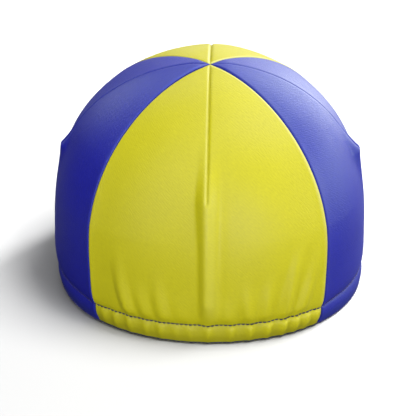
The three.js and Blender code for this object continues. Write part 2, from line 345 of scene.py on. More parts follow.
def row_levels():
    band = WIDEST_HEIGHT - HEM_HEIGHT
    low = HEM_HEIGHT + band * np.array(LOW_ROWS)
    even = np.linspace(HEM_HEIGHT + EVEN_ROWS["from"] * band, WIDEST_HEIGHT, EVEN_ROWS["count"])[:-1]
    angles = np.radians(np.linspace(0, DOME_ROWS["last"], DOME_ROWS["count"]))
    dome = WIDEST_HEIGHT + (CROWN_HEIGHT - WIDEST_HEIGHT) * np.sin(angles)
    return np.concatenate([low, even, dome])[:, None]


class Spots:
    """Where the points of one panel lie on the crown, and how far they are from its seams and its dart"""

    def __init__(self, place):
        self.place = place
        self.share = column_shares(place)
        levels = row_levels()
        start, end = seam_turns(place, levels)
        dart = DARTS[place]
        lean = dart["lean"] * np.clip((CROWN_HEIGHT - levels) / (CROWN_HEIGHT - dart["end"]), 0, 1)
        lean = lean * smoothstep(levels, HEM_HEIGHT, HEM_HEIGHT + LEAN_FADE)
        middle = sum(SEAMS[place]["rim"]) / 2
        straight = start + (end - start) * self.share
        self.turn = straight + lean * (1 - np.abs(2 * self.share - 1))
        self.height = lifted_height(self.turn, levels)
        self.reach = crown_reach(self.turn, self.height)
        self.climb = levels - HEM_HEIGHT
        self.above = self.height - dart["end"]
        self.seam = self.reach * np.radians(np.minimum(self.turn - start, end - self.turn))
        self.dart = self.reach * np.radians(self.turn - middle - lean)


# Painted shade darkens the cloth in a seam, along a dart and along the hem's groove, where shade falls. A
# painted highlight lightens it where its relief would catch the light: beside one seam of a panel, given as
# the side that it lies on, along one side of a dart, and down the ridge.
SEAM_PAINTED_SHADE = {"back": 0.12, "front": 0.12, "left": 0.25, "right": 0.75}
HEM_GROOVE_PAINTED_SHADE = {"strength": 0.1, "width": 0.6}
DART_PAINTED_SHADE = {"width": 0.5, "back": 0.2, "front": 0.2, "left": 0.9, "right": 0.15}
PAINTED_HIGHLIGHT_SIDE = {"back": 1, "right": 0, "front": -1, "left": 1}
PAINTED_HIGHLIGHT_SEAM = {"back": 0.6, "right": 0, "front": 0.6, "left": 0.15, "low": 0.25, "from": 40, "full": 105}
PAINTED_HIGHLIGHT_DART = {"aside": 0.95, "width": 0.5, "back": 0.3, "front": 0.75, "left": 0, "right": 0}
PAINTED_HIGHLIGHT_RIDGE = {"aside": 2.4, "width": 3.2, "back": 0.13, "front": 0, "left": 0, "right": 0}
PAINTED_HIGHLIGHT_RIDGE_ENDS = {"foot": 16, "above": 16, "below": 6}


def seam_lip(at):
    on_side = PAINTED_HIGHLIGHT_SIDE[at.place] * (at.share - 0.5) > 0
    return bell(at.seam - SEAM_LIP["inset"], SEAM_LIP["width"]) * on_side


def panel_marks(at):
    """Where the cloth of a panel gets painted shade, and where it gets a painted highlight"""
    sewn_dart = smoothstep(at.above, *DART_TIP)
    # Painted shade along the hem's groove, in the sewn dart and in the seams
    by_hem = HEM_GROOVE_PAINTED_SHADE["strength"] * bell(at.climb, HEM_GROOVE_PAINTED_SHADE["width"])
    in_dart = DART_PAINTED_SHADE[at.place] * bell(at.dart, DART_PAINTED_SHADE["width"]) * sewn_dart
    crease = np.maximum(np.maximum(bell(at.seam, SEAM_PAINTED_SHADE[at.place]), by_hem + 0 * at.turn), in_dart)
    # Painted highlight beside one seam, along one side of the dart and down the ridge
    by_seam = seam_lip(at) * grow(at.height, PAINTED_HIGHLIGHT_SEAM["from"], PAINTED_HIGHLIGHT_SEAM["full"], PAINTED_HIGHLIGHT_SEAM["low"])
    by_dart = bell(at.dart + PAINTED_HIGHLIGHT_SIDE[at.place] * PAINTED_HIGHLIGHT_DART["aside"], PAINTED_HIGHLIGHT_DART["width"]) * sewn_dart
    on_ridge = bell(at.dart - PAINTED_HIGHLIGHT_RIDGE["aside"], PAINTED_HIGHLIGHT_RIDGE["width"])
    on_ridge = on_ridge * smoothstep(at.climb, 0, PAINTED_HIGHLIGHT_RIDGE_ENDS["foot"])
    on_ridge = on_ridge * smoothstep(-at.above, -PAINTED_HIGHLIGHT_RIDGE_ENDS["above"], PAINTED_HIGHLIGHT_RIDGE_ENDS["below"])
    pale = np.maximum(PAINTED_HIGHLIGHT_SEAM[at.place] * by_seam, PAINTED_HIGHLIGHT_DART[at.place] * by_dart)
    return crease, np.maximum(pale, PAINTED_HIGHLIGHT_RIDGE[at.place] * on_ridge)


# Near the top, where a panel narrows to a point, its relief fades with the distance to the middle
FORM_FADE = 9
SINK_FADE = {"reach": 5, "least": 0.15}
ALLOWANCE_FADE = 20
THINNEST = 0.15


def inner_allowance(at):
    """How thick the pressed seam allowances lie inside a panel, beside its seams and its dart"""
    edge = (-ALLOWANCE["width"] - ALLOWANCE["soft"], -ALLOWANCE["width"] + ALLOWANCE["soft"])
    folded = np.maximum(
        smoothstep(-at.seam, *edge),
        smoothstep(-np.abs(at.dart), *edge) * smoothstep(at.above, *ALLOWANCE_TIP),
    )
    return ALLOWANCE["thickness"] * folded * np.clip(at.reach / ALLOWANCE_FADE, 0, 1)


def panel_grids(place):
    """Outer and inner points of one panel, rows going up and columns going round, and its marks"""
    at = Spots(place)
    form = dart_form(place, at.dart, at.height) + seam_rise(at.seam, at.height)
    form = form + slack_relief(place, at.turn, at.height) * smoothstep(at.seam, 0, SLACK["fade"])
    form = form + fullness(at.climb) + SEAM_LIP[place] * seam_lip(at)
    if place == "back":
        form = form + fold_relief(at.turn, at.height) + pucker_relief(at.turn, at.height)
    form = form * np.clip(at.reach / FORM_FADE, 0, 1)
    sunk = ROLLED_EDGE["depth"] * rolled_edge(place, at.seam) + dart_groove(place, at.dart, at.height)
    sunk = sunk * np.clip(at.reach / SINK_FADE["reach"], SINK_FADE["least"], 1)
    outward = form - sunk - hem_groove(at.climb)
    inward = np.minimum(form - CLOTH - inner_allowance(at), outward - THINNEST)
    point = crown_point(at.turn, at.height)
    normal = crown_normal(at.turn, at.height)
    outer = point + normal * outward[..., None]
    inner = point + normal * inward[..., None]
    steps_up = np.linalg.norm(np.diff(point[:, at.share.size // 2], axis=0), axis=1)
    up = np.concatenate([[0], np.cumsum(steps_up)])[:, None] + 0 * at.turn
    cloth = np.stack([at.dart, up, 0 * up], -1)
    return outer, inner, (cloth, *panel_marks(at))


def mark_points(mesh, name, values):
    """Keeps a number or a vector with each point of a mesh, for its material or its geometry tree"""
    kind, field = ("FLOAT_VECTOR", "vector") if values.ndim == 2 else ("FLOAT", "value")
    mesh.attributes.new(name, kind, "POINT").data.foreach_set(field, values.ravel())


def cloth_object(name, points, faces, marks):
    """A piece of cloth that keeps its place on the flat cloth, and where it has painted shade and a painted
    highlight
    """
    mesh = bpy.data.meshes.new(name)
    mesh.from_pydata((points / 1000).tolist(), [], faces)
    mesh.validate()
    mesh.shade_smooth()
    for mark, values in zip(("cloth", "crease", "pale"), marks):
        mark_points(mesh, mark, values)
    piece = bpy.data.objects.new(name, mesh)
    bpy.context.scene.collection.objects.link(piece)
    return piece


def plate_object(name, outer, inner, marks):
    """A closed sheet between two equal grids of points"""
    rows, columns = outer.shape[:2]
    count = rows * columns
    index = np.arange(count).reshape(rows, columns)
    face = np.stack([index[:-1, :-1], index[:-1, 1:], index[1:, 1:], index[1:, :-1]], -1).reshape(-1, 4)
    rim = np.concatenate([index[0, :], index[1:, -1], index[-1, -2::-1], index[-2:0:-1, 0]])
    rim_next = np.roll(rim, -1)
    edge = np.stack([rim, rim + count, rim_next + count, rim_next], -1)
    faces = np.concatenate([face, face[:, ::-1] + count, edge]).tolist()
    points = np.concatenate([outer.reshape(-1, 3), inner.reshape(-1, 3)])
    both_sides = [np.concatenate([mark.reshape(count, *mark.shape[2:])] * 2) for mark in marks]
    return cloth_object(name, points, faces, both_sides)


def add_node(tree, kind, values=None, **settings):
    """A node with its settings made, and each of its inputs set to a value or linked to an output"""
    node = tree.nodes.new(kind)
    for key, value in settings.items():
        setattr(node, key, value)
    for key, value in (values or {}).items():
        if isinstance(value, bpy.types.NodeSocket):
            tree.links.new(value, node.inputs[key])
        else:
            node.inputs[key].default_value = value
    return node


def add_sockets(tree, side, kinds):
    """Gives a tree its named inputs or its named outputs"""
    for name, kind in kinds.items():
        tree.interface.new_socket(name, in_out=side, socket_type=f"NodeSocket{kind}")


def maths(tree, operation, first, second=0.0):
    return add_node(tree, "ShaderNodeMath", {0: first, 1: second}, operation=operation).outputs[0]


def mix_colors(tree, factor, first, second):
    """The first colour where the factor is nothing and the second where it is one"""
    mix = add_node(tree, "ShaderNodeMix", {"Factor": factor}, data_type="RGBA")
    for slot, color in ((6, first), (7, second)):
        if isinstance(color, bpy.types.NodeSocket):
            tree.links.new(color, mix.inputs[slot])
        else:
            mix.inputs[slot].default_value = (*color, 1)
    return mix.outputs[2]


# The twill has diagonal ribs, and its threads are uneven. The pace is two pi over the root of two, because
# the ribs are counted along both edges of the cloth.
DIAGONAL_PACE = 4.44
RIB_SPACING = 1.35
RIB_WANDER = 1.2
THREAD_STRETCH = 0.2
WEAVE_DEPTH = 0.2
WEAVE_COAT_ROUGHNESS = 0.42
WEAVE_NOISES = {
    "wander": {"Scale": 0.35, "Detail": 1.0, "Roughness": 0.5},
    "threads": {"Scale": 1.3, "Detail": 1.0, "Roughness": 0.6},
    "fuzz": {"Scale": 2.2, "Detail": 2.0, "Roughness": 0.7},
    "mottle": {"Scale": 0.045, "Detail": 3.0, "Roughness": 0.55},
}
WEAVE_RELIEF = {"rib": 0.2, "rib_bare": 0.15, "threads": 1.3, "fuzz": 0.7}
WEAVE_TONE = {"base": -0.17, "relief": 0.7, "mottle": 0.35}
WEAVE_ROUGHNESS = {"base": 0.42, "fuzz": 0.16, "crease": 0.45}
TWILL_INPUTS = {
    **{"Place": "Vector", "Rib Spacing": "Float", "Crease": "Float", "Pale": "Float"},
    **{f"{tone} Color": "Color" for tone in ("Cloth", "Shade", "Crease", "Pale")},
}
TWILL_READS = (("Place", "cloth", "Vector"), ("Crease", "crease", "Fac"), ("Pale", "pale", "Fac"))
TWILL_OUTPUTS = {"Color": "Color", "Height": "Float", "Roughness": "Float"}


def make_twill_group():
    """Diagonal ribs of twill on the flat cloth, with uneven threads and slow changes of tone"""
    group = bpy.data.node_groups.new("twill_weave", "ShaderNodeTree")
    add_sockets(group, "INPUT", TWILL_INPUTS)
    add_sockets(group, "OUTPUT", TWILL_OUTPUTS)

    def noise(name, where):
        values = {"Vector": where, **WEAVE_NOISES[name]}
        return add_node(group, "ShaderNodeTexNoise", values).outputs["Fac"]

    def add(first, second):
        return maths(group, "ADD", first, second)

    def take(first, second):
        return maths(group, "SUBTRACT", first, second)

    def times(first, second):
        return maths(group, "MULTIPLY", first, second)

    given = add_node(group, "NodeGroupInput").outputs
    place = given["Place"]
    split = add_node(group, "ShaderNodeSeparateXYZ", {0: place}).outputs
    across = add(add(split["X"], split["Y"]), times(noise("wander", place), RIB_WANDER))
    along = times(take(split["X"], split["Y"]), THREAD_STRETCH)
    pace = maths(group, "DIVIDE", DIAGONAL_PACE, given["Rib Spacing"])
    rib = maths(group, "SINE", times(across, pace))
    thread = add_node(group, "ShaderNodeCombineXYZ", {"X": across, "Y": along}).outputs[0]
    fuzz = noise("fuzz", place)
    uneven = times(take(fuzz, WEAVE_RELIEF["rib_bare"]), WEAVE_RELIEF["rib"])
    height = add(times(rib, uneven), times(noise("threads", thread), WEAVE_RELIEF["threads"]))
    height = add(height, times(fuzz, WEAVE_RELIEF["fuzz"]))
    mottle = times(take(noise("mottle", place), 0.5), WEAVE_TONE["mottle"])
    tone = add(WEAVE_TONE["base"], times(height, WEAVE_TONE["relief"]))
    tone = add_node(group, "ShaderNodeMath", {0: tone, 1: mottle}, operation="ADD", use_clamp=True)
    color = mix_colors(group, tone.outputs[0], given["Shade Color"], given["Cloth Color"])
    # Painted shade and a painted highlight are mixed over the weave's colour where the cloth's marks say
    color = mix_colors(group, given["Crease"], color, given["Crease Color"])
    color = mix_colors(group, given["Pale"], color, given["Pale Color"])
    rough = add(WEAVE_ROUGHNESS["base"], times(fuzz, WEAVE_ROUGHNESS["fuzz"]))
    rough = add(rough, times(given["Crease"], WEAVE_ROUGHNESS["crease"]))
    add_node(group, "NodeGroupOutput", {"Color": color, "Height": height, "Roughness": rough})
    return group


TWILL = make_twill_group()


def cloth_material(name, look):
    material = bpy.data.materials.new(name)
    material.use_nodes = True
    tree = material.node_tree
    surface = tree.nodes["Principled BSDF"]
    weave = add_node(tree, "ShaderNodeGroup", node_tree=TWILL)
    weave.inputs["Rib Spacing"].default_value = RIB_SPACING
    for socket, mark, field in TWILL_READS:
        read = add_node(tree, "ShaderNodeAttribute", attribute_name=mark)
        tree.links.new(read.outputs[field], weave.inputs[socket])
    for tone in ("Cloth", "Shade", "Crease", "Pale"):
        weave.inputs[f"{tone} Color"].default_value = (*look[tone.lower()], 1)
    relief = {"Height": weave.outputs["Height"], "Strength": look["relief"], "Distance": WEAVE_DEPTH / 1000}
    bump = add_node(tree, "ShaderNodeBump", relief)
    tree.links.new(weave.outputs["Color"], surface.inputs["Base Color"])
    tree.links.new(weave.outputs["Roughness"], surface.inputs["Roughness"])
    tree.links.new(bump.outputs["Normal"], surface.inputs["Normal"])
    surface.inputs["Specular IOR Level"].default_value = look["gloss"]
    surface.inputs["Specular Tint"].default_value = (*look["gloss_tint"], 1)
    surface.inputs["Coat Weight"].default_value = look["bloom"]
    surface.inputs["Coat Roughness"].default_value = WEAVE_COAT_ROUGHNESS
    return material


# Each look's third colour is painted shade and its fourth a painted highlight
YELLOW_LOOK = {
    "cloth": (0.685, 0.64, 0.001),
    "shade": (0.545, 0.505, 0.0005),
    "crease": (0.12, 0.11, 0.0002),
    "pale": (0.92, 0.9, 0.3),
    "relief": 0.45,
    "gloss": 0.66,
    "gloss_tint": (0.05, 0.1, 0.95),
    "bloom": 0,
}
BLUE_LOOK = {
    "cloth": (0.004, 0.0015, 0.43),
    "shade": (0.003, 0.001, 0.28),
    "crease": (0.0005, 0.0005, 0.3),
    "pale": (0.1, 0.13, 0.75),
    "relief": 0.6,
    "gloss": 0.85,
    "gloss_tint": (0.75, 1.0, 0.4),
    "bloom": 0.07,
}
YELLOW_TWILL = cloth_material("yellow_twill", YELLOW_LOOK)
BLUE_TWILL = cloth_material("blue_twill", BLUE_LOOK)
PANEL_CLOTH = {"back": YELLOW_TWILL, "right": BLUE_TWILL, "front": YELLOW_TWILL, "left": BLUE_TWILL}


stitch_lines = {}
for place in SEAMS:
    outer, inner, marks = panel_grids(place)
    panel = plate_object(f"crown_{place}", outer, inner, marks)
    panel.data.materials.append(PANEL_CLOTH[place])
    stitch_lines[place] = outer[0]
    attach(panel, "root")
    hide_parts(f"panel_{place}")

# The hem is each panel's own edge, turned up inside and stitched down. At the back it holds the elastic,
# which draws it into puckers. It is the part of the cap that stands on the table.
# Points of the hem's section: how far out each lies, how far up, and how much it takes part in the puckers
HEM_SECTION = [
    (-0.7, 12.25, 1), (-0.3, 11.85, 1), (0.12, 11.2, 1), (0.56, 10.3, 1),
    (0.98, 9.2, 1), (1.3, 8, 1), (1.5, 6.8, 1), (1.6, 5.6, 1),
    (1.53, 4.4, 1), (1.36, 3.3, 1), (1.24, 2.35, 1), (1.15, 1.6, 1),
    (1.1, 1.15, 1), (1.05, 0.8, 1), (0.92, 0.4, 0.9), (0.65, 0.12, 0.7),
    (0.1, 0.02, 0.4), (-1.3, 0.02, 0.2), (-1.75, 0.15, 0.2), (-2.0, 0.5, 0.2),
    (-2.1, 1.2, 0.2), (-2.15, 6, 0.5), (-2.0, 11.2, 0.8), (-1.8, 12.25, 0.9),
]
HEM_STEP = 0.7
HEM_ENDS = (0.0008, 0.002, 0.0038, 0.0062)

# The hem is rolled in at the seams, and has painted shade all over, more towards its foot and between its
# puckers, but only further out than this
HEM_ROLL = {"depth": 0.9, "further_out": -0.7}
HEM_PAINTED_SHADE = {"all": 0.07, "pucker": 0.09, "most": 0.85, "further_out": -1}
HEM_FOOT_PAINTED_SHADE = {"back": 0.25, "front": 0.25, "left": 0.8, "right": 0.75}
LEVEL_BELOW = HEM_HEIGHT - 0.5
EDGE_STITCH_POINT = 12


def hem_rings(place):
    """The hem's section at one station after the other, from seam to seam, and its marks"""
    start, end = SEAMS[place]["rim"]
    middle = (start + end) / 2
    span = crown_reach(np.array(middle), np.array(0.0)) * np.radians(end - start)
    near = np.array(HEM_ENDS)
    shares = np.concatenate([np.linspace(0, 1, int(span / HEM_STEP) + 1), near, 1 - near])
    out, up, gathered = np.array(HEM_SECTION).T[:, None, :]
    start, end = seam_turns(place, up)
    turn = start + (end - start) * np.unique(shares)[:, None]
    height = lifted_height(turn, up)
    seam = crown_reach(turn, height) * np.radians(np.minimum(turn - start, end - turn))
    rolled = HEM_ROLL["depth"] * rolled_edge(place, seam) * (out > HEM_ROLL["further_out"])
    relief = out - rolled + seam_rise(seam, height) * np.minimum(up / HEM_HEIGHT, 1)
    # Painted shade: a little over the whole hem, and more towards its foot
    shade = HEM_PAINTED_SHADE["all"] + HEM_FOOT_PAINTED_SHADE[place] * (1 - smoothstep(up, 0, HEM_HEIGHT)) + 0 * turn
    if place == "back":
        puckers = pucker_relief(turn, up + 0 * turn)
        relief = relief + gathered * puckers
        # Painted shade grows in the valleys between puckers and shrinks on their bulges
        shade = shade - HEM_PAINTED_SHADE["pucker"] * puckers
    outward = crown_normal(turn, height)
    outward[..., 2] *= up > LEVEL_BELOW
    outward /= np.linalg.norm(outward, axis=-1, keepdims=True)
    ring = crown_point(turn, height) + outward * relief[..., None]
    around = crown_reach(turn, 0 * turn) * np.radians(turn - middle)
    section = np.stack([out[0], up[0]], -1)
    steps = np.linalg.norm(np.diff(section, axis=0), axis=1)
    travel = np.concatenate([[0], np.cumsum(steps)])
    cloth = np.stack([around, 0 * around - travel, 0 * around], -1)
    # The seam's painted shade joined with the hem's, only on the section's outer side
    crease = np.maximum(bell(seam, SEAM_PAINTED_SHADE[place]), np.clip(shade, 0, HEM_PAINTED_SHADE["most"]))
    return ring, (cloth, crease * (out > HEM_PAINTED_SHADE["further_out"]))


def bar_object(name, rings, marks):
    """A closed bar: rings of points one after the other, with a face over each end"""
    stations, corners = rings.shape[:2]
    index = np.arange(stations * corners).reshape(stations, corners)
    after = np.roll(index, -1, axis=1)
    face = np.stack([index[:-1], after[:-1], after[1:], index[1:]], -1).reshape(-1, 4)
    faces = face.tolist() + [index[0, ::-1].tolist(), index[-1].tolist()]
    flat_marks = [mark.reshape(stations * corners, *mark.shape[2:]) for mark in marks]
    return cloth_object(name, rings.reshape(-1, 3), faces, flat_marks)


edge_lines = {}
for place in SEAMS:
    rings, marks = hem_rings(place)
    hem = bar_object(f"turned_hem_{place}", rings, marks)
    hem.data.materials.append(PANEL_CLOTH[place])
    edge_lines[place] = rings[:, EDGE_STITCH_POINT]
    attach(hem, "root")
    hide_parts(f"hem_{place}")

# The peak is a stiff plate covered in the blue twill. Its inner edge is sewn under the hem over the brow, and
# its outer edge is turned and sewn through twice. It curves down at the corners. Its shape follows a rule: a
# sheet stretched between the line of the brow and the line of its edge.
PEAK = {
    "Thickness": 2.2,
    "Arch": 1.5,
    "Edge Radius": 1.1,
    "Groove Depth": 0.15,
    "Groove Width": 0.5,
    "Outer Row": 3.4,
    "Inner Row": 9.2,
}
PEAK_COLUMNS = 201
PEAK_ROWS = 60
PEAK_ROW_CROWDING = 1.8
PEAK_SPAN = 50
PEAK_HALF_WIDTH = 72
PEAK_SQUARENESS = 2.4
PEAK_SEAT = {"out": 0.85, "height": 1.5}
PEAK_FRONT_HEIGHT = 5.5
MERGED_WITHIN = 0.01


def peak_lines():
    """The peak's line at the brow, its outer edge, and how near to the middle each of their points is"""
    share = np.linspace(-1, 1, PEAK_COLUMNS)
    turn = 180 - PEAK_SPAN * share
    height = lifted_height(turn, 0 * share) + PEAK_SEAT["height"]
    level = crown_normal(turn, height) * np.array([1, 1, 0])
    level /= np.linalg.norm(level, axis=-1, keepdims=True)
    brow = crown_point(turn, height) + level * PEAK_SEAT["out"]
    sweep = np.radians(90 * (1 - np.abs(share)))
    tip = APEX_Y + BROW_REACH + PEAK_PROJECTION
    across = np.sign(share) * PEAK_HALF_WIDTH * np.cos(sweep) ** (2 / PEAK_SQUARENESS)
    along = brow[0, 1] + (tip - brow[0, 1]) * np.sin(sweep) ** (2 / PEAK_SQUARENESS)
    middle = 1 - share**2
    up = PEAK_FRONT_HEIGHT * middle + PEAK_SEAT["height"] * (1 - middle)
    return brow, np.stack([across, along, up], -1), middle


def rounding(tree, distance, radius):
    """Rises from 0 at an edge to 1 at the radius, as a quarter of a circle"""
    share = add_node(tree, "ShaderNodeMath", {0: distance, 1: radius}, operation="DIVIDE", use_clamp=True)
    left = maths(tree, "SUBTRACT", 1.0, share.outputs[0])
    return maths(tree, "SQRT", maths(tree, "SUBTRACT", 1.0, maths(tree, "MULTIPLY", left, left)))


def finished(tree, geometry, material, name):
    """Ends a geometry tree with real, smooth and covered geometry"""
    real = add_node(tree, "GeometryNodeRealizeInstances", {"Geometry": geometry})
    smooth = add_node(tree, "GeometryNodeSetShadeSmooth", {"Geometry": real.outputs["Geometry"]})
    covering = {"Geometry": smooth.outputs["Geometry"], "Material": material}
    covered = add_node(tree, "GeometryNodeSetMaterial", covering)
    add_node(tree, "NodeGroupOutput", {name: covered.outputs["Geometry"]})


def make_peak_tree():
    """A plate with round edges and two sewn grooves, from the brow's points to the edge that they carry"""
    tree = bpy.data.node_groups.new("stretched_peak", "GeometryNodeTree")
    counts = {"Columns": "Int", "Rows": "Int"}
    sizes = {name: "Float" for name in PEAK}
    add_sockets(tree, "INPUT", {"Brow": "Geometry", **sizes, **counts, "Cloth": "Material"})
    add_sockets(tree, "OUTPUT", {"Peak": "Geometry"})
    given = add_node(tree, "NodeGroupInput").outputs
    unit = {"Size X": 1.0, "Size Y": 1.0, "Vertices X": given["Columns"], "Vertices Y": given["Rows"]}
    grid = add_node(tree, "GeometryNodeMeshGrid", unit).outputs["Mesh"]
    place = add_node(tree, "GeometryNodeInputPosition").outputs[0]
    split = add_node(tree, "ShaderNodeSeparateXYZ", {0: place}).outputs
    last = maths(tree, "SUBTRACT", given["Columns"], 1.0)
    column = maths(tree, "MULTIPLY", maths(tree, "ADD", split["X"], 0.5), last)
    column = maths(tree, "ROUND", column)

    def at_column(value, kind):
        sample = add_node(tree, "GeometryNodeSampleIndex", {"Geometry": given["Brow"]}, data_type=kind)
        tree.links.new(value, sample.inputs["Value"])
        tree.links.new(column, sample.inputs["Index"])
        return sample.outputs["Value"]

    def carried(name, kind):
        return add_node(tree, "GeometryNodeInputNamedAttribute", {"Name": name}, data_type=kind).outputs[0]

    def vectors(operation, values):
        return add_node(tree, "ShaderNodeVectorMath", values, operation=operation).outputs

    def times(first, second):
        return maths(tree, "MULTIPLY", first, second)

    brow = at_column(place, "FLOAT_VECTOR")
    edge = at_column(carried("edge", "FLOAT_VECTOR"), "FLOAT_VECTOR")
    middle = at_column(carried("middle", "FLOAT"), "FLOAT")
    inset_share = maths(tree, "POWER", maths(tree, "SUBTRACT", 0.5, split["Y"]), PEAK_ROW_CROWDING)
    out = maths(tree, "SUBTRACT", 1.0, inset_share)
    across = vectors("SUBTRACT", {0: edge, 1: brow})[0]
    width = vectors("LENGTH", {0: across})["Value"]
    inset = times(inset_share, width)
    half = times(times(given["Thickness"], 0.5), rounding(tree, inset, given["Edge Radius"]))
    half = times(half, rounding(tree, times(out, width), given["Edge Radius"]))
    for row in ("Outer Row", "Inner Row"):
        away = maths(tree, "DIVIDE", maths(tree, "SUBTRACT", inset, given[row]), given["Groove Width"])
        falling = maths(tree, "EXPONENT", times(times(away, away), -1.0))
        half = maths(tree, "SUBTRACT", half, times(falling, given["Groove Depth"]))
    half = maths(tree, "MAXIMUM", half, 0.0)
    arch = maths(tree, "SINE", times(out, math.pi))
    lift = times(times(arch, given["Arch"]), middle)
    reached = vectors("SCALE", {0: across, "Scale": out})[0]
    point = vectors("ADD", {0: brow, 1: reached})[0]
    sides = []
    for side in (1.0, -1.0):
        rise = add_node(tree, "ShaderNodeCombineXYZ", {"Z": maths(tree, "ADD", lift, times(half, side))})
        raised = vectors("ADD", {0: point, 1: rise.outputs[0]})[0]
        placed = add_node(tree, "GeometryNodeSetPosition", {"Geometry": grid, "Position": raised})
        sides.append(placed.outputs["Geometry"])
    under = add_node(tree, "GeometryNodeFlipFaces", {"Mesh": sides[1]})
    both = add_node(tree, "GeometryNodeJoinGeometry", {"Geometry": sides[0]})
    tree.links.new(under.outputs["Mesh"], both.inputs["Geometry"])
    merging = {"Geometry": both.outputs["Geometry"], "Distance": MERGED_WITHIN / 1000}
    closed = add_node(tree, "GeometryNodeMergeByDistance", merging)
    flat = vectors("SCALE", {0: place, "Scale": 1000.0})[0]
    marking = {"Geometry": closed.outputs["Geometry"], "Name": "cloth", "Value": flat}
    marked = add_node(tree, "GeometryNodeStoreNamedAttribute", marking, data_type="FLOAT_VECTOR")
    finished(tree, marked.outputs["Geometry"], given["Cloth"], "Peak")
    return tree


def grown(name, mesh, tree, values):
    """The plain mesh that a geometry tree makes from the given one, as an object"""
    piece = bpy.data.objects.new(name, mesh)
    bpy.context.scene.collection.objects.link(piece)
    modifier = piece.modifiers.new(tree.name, "NODES")
    modifier.node_group = tree
    sockets = {item.name: item.identifier for item in tree.interface.items_tree if item.in_out == "INPUT"}
    for socket, value in values.items():
        modifier[sockets[socket]] = value
    bpy.context.view_layer.update()
    graph = bpy.context.evaluated_depsgraph_get()
    made = bpy.data.meshes.new_from_object(piece.evaluated_get(graph))
    piece.modifiers.remove(modifier)
    piece.data = made
    bpy.data.meshes.remove(mesh)
    return piece


peak_brow, peak_edge, peak_middle = peak_lines()
brow_mesh = bpy.data.meshes.new("brow_line")
brow_mesh.from_pydata((peak_brow / 1000).tolist(), [(step, step + 1) for step in range(PEAK_COLUMNS - 1)], [])
mark_points(brow_mesh, "edge", peak_edge / 1000)
mark_points(brow_mesh, "middle", peak_middle)
peak_values = {name: value / 1000 for name, value in PEAK.items()}
peak = grown(
    "curved_peak",
    brow_mesh,
    make_peak_tree(),
    {**peak_values, "Columns": PEAK_COLUMNS, "Rows": PEAK_ROWS, "Cloth": BLUE_TWILL},
)
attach(peak, "root")
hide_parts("peak")

# The stitches are navy thread on the yellow cloth and blue thread on the blue. One row holds the hem down, a
# second one follows the very edge, and the peak has two rows. Each stitch dips into the cloth at both ends.
HEM_STITCH = {"Pitch": 2.35, "Length": 1.55, "Thread Radius": 0.39, "Rise": 0.2, "Dip": 0.2}
EDGE_STITCH = {"Pitch": 2.25, "Length": 2.1, "Thread Radius": 0.32, "Rise": 0.2, "Dip": 0.2}
STITCH_SIZES = {"least": (0.88, 0.9, 0.8), "most": (1.06, 1.1, 1.1)}
STITCH_LIFT = {"hem": 0.12, "edge": 0.2, "peak": 0.02}
STITCH_SEEDS = {"hem": 11, "edge": 23, "peak": 37}
ARCH_POINTS = 7
THREAD_SIDES = 6
NARROWEST_FOR_ROW = 2.5
THREAD_LOOK = {"strands": 2600.0, "depth": 0.1, "relief": 0.5, "roughness": 0.5, "sheen": 0.2}


def thread_material(name, dark, light):
    """Twisted thread, lighter where its strands turn outwards"""
    material = bpy.data.materials.new(name)
    material.use_nodes = True
    tree = material.node_tree
    surface = tree.nodes["Principled BSDF"]
    place = add_node(tree, "ShaderNodeTexCoord").outputs["Object"]
    strands = {"Vector": place, "Scale": THREAD_LOOK["strands"], "Detail": 2.0}
    twist = add_node(tree, "ShaderNodeTexNoise", strands).outputs["Fac"]
    relief = {"Height": twist, "Strength": THREAD_LOOK["relief"], "Distance": THREAD_LOOK["depth"] / 1000}
    bump = add_node(tree, "ShaderNodeBump", relief)
    tree.links.new(mix_colors(tree, twist, dark, light), surface.inputs["Base Color"])
    tree.links.new(bump.outputs["Normal"], surface.inputs["Normal"])
    surface.inputs["Roughness"].default_value = THREAD_LOOK["roughness"]
    surface.inputs["Sheen Weight"].default_value = THREAD_LOOK["sheen"]
    return material


NAVY_THREAD = thread_material("navy_thread", (0.004, 0.006, 0.03), (0.02, 0.03, 0.12))
BLUE_THREAD = thread_material("blue_thread", (0.006, 0.004, 0.1), (0.012, 0.008, 0.26))


